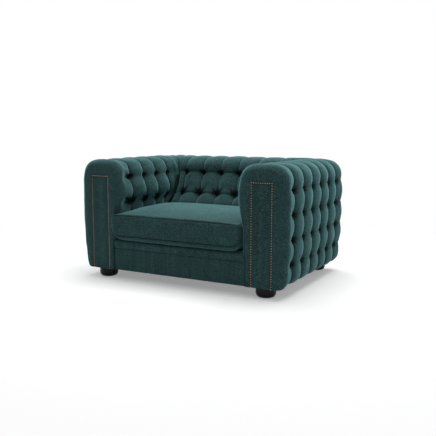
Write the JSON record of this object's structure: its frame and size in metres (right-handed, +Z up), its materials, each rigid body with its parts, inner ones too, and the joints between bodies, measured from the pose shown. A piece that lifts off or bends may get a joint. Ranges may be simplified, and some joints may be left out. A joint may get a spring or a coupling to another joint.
{
  "type": "snuggle chair",
  "caption": "Low, wide upholstered armchair with tufted arms and back of equal height, nail-trimmed arm fronts, a loose boxed seat cushion that slides out and round bun feet.",
  "frame": {"origin": "centre of the overall box on the floor", "axes": "+Z up, the front faces -Y, +X is the right of someone who faces the chair"},
  "size_m": [1.3578, 0.944, 0.7145],
  "materials": {
    "velvet": "deep teal short-pile velvet with a soft sheen",
    "nail_brass": "antiqued copper-brown brass nail heads",
    "foot_black": "gloss black lacquer on turned wood",
    "frame_wood": "plain planed hardwood",
    "spring_steel": "bright drawn wire and plain steel",
    "dust_cloth": "thin black nonwoven cloth"
  },
  "bodies": {
    "chair": {"back_outer_rail": "frame_wood", "back_pad": "velvet", "back_top_rail": "frame_wood", "back_upright_1": "frame_wood", "back_upright_2": "frame_wood", "back_upright_3": "frame_wood", "back_upright_4": "frame_wood", "deck_pad": "velvet", "dust_cover": "dust_cloth", "front_border": "velvet", "front_left_foot": "foot_black", "front_left_foot_block": "frame_wood", "front_left_foot_bolt": "spring_steel", "front_panel": "velvet", "front_rail": "frame_wood", "front_right_foot": "foot_black", "front_right_foot_block": "frame_wood", "front_right_foot_bolt": "spring_steel", "front_spring_clip_1": "spring_steel", "front_spring_clip_2": "spring_steel", "front_spring_clip_3": "spring_steel", "front_spring_clip_4": "spring_steel", "front_spring_clip_5": "spring_steel", "left_arm_facing": "velvet", "left_arm_front_board": "frame_wood", "left_arm_outer_rail": "frame_wood", "left_arm_pad": "velvet", "left_arm_top_rail": "frame_wood", "left_back_post": "frame_wood", "left_nail_strip": "nail_brass", "left_side_rail": "frame_wood", "rear_left_foot": "foot_black", "rear_left_foot_block": "frame_wood", "rear_left_foot_bolt": "spring_steel", "rear_rail": "frame_wood", "rear_right_foot": "foot_black", "rear_right_foot_block": "frame_wood", "rear_right_foot_bolt": "spring_steel", "rear_spring_clip_1": "spring_steel", "rear_spring_clip_2": "spring_steel", "rear_spring_clip_3": "spring_steel", "rear_spring_clip_4": "spring_steel", "rear_spring_clip_5": "spring_steel", "right_arm_facing": "velvet", "right_arm_front_board": "frame_wood", "right_arm_outer_rail": "frame_wood", "right_arm_pad": "velvet", "right_arm_top_rail": "frame_wood", "right_back_post": "frame_wood", "right_nail_strip": "nail_brass", "right_side_rail": "frame_wood", "seat_spring_1": "spring_steel", "seat_spring_2": "spring_steel", "seat_spring_3": "spring_steel", "seat_spring_4": "spring_steel", "seat_spring_5": "spring_steel", "seat_stretcher": "frame_wood"},
    "cushion": {"seat_cushion": "velvet"}
  },
  "joints": [
    {"name": "cushion_slide", "type": "slide", "parent": "chair", "child": "cushion", "axis": [0, -1, 0], "range_m": [0, 0.58]}
  ]
}
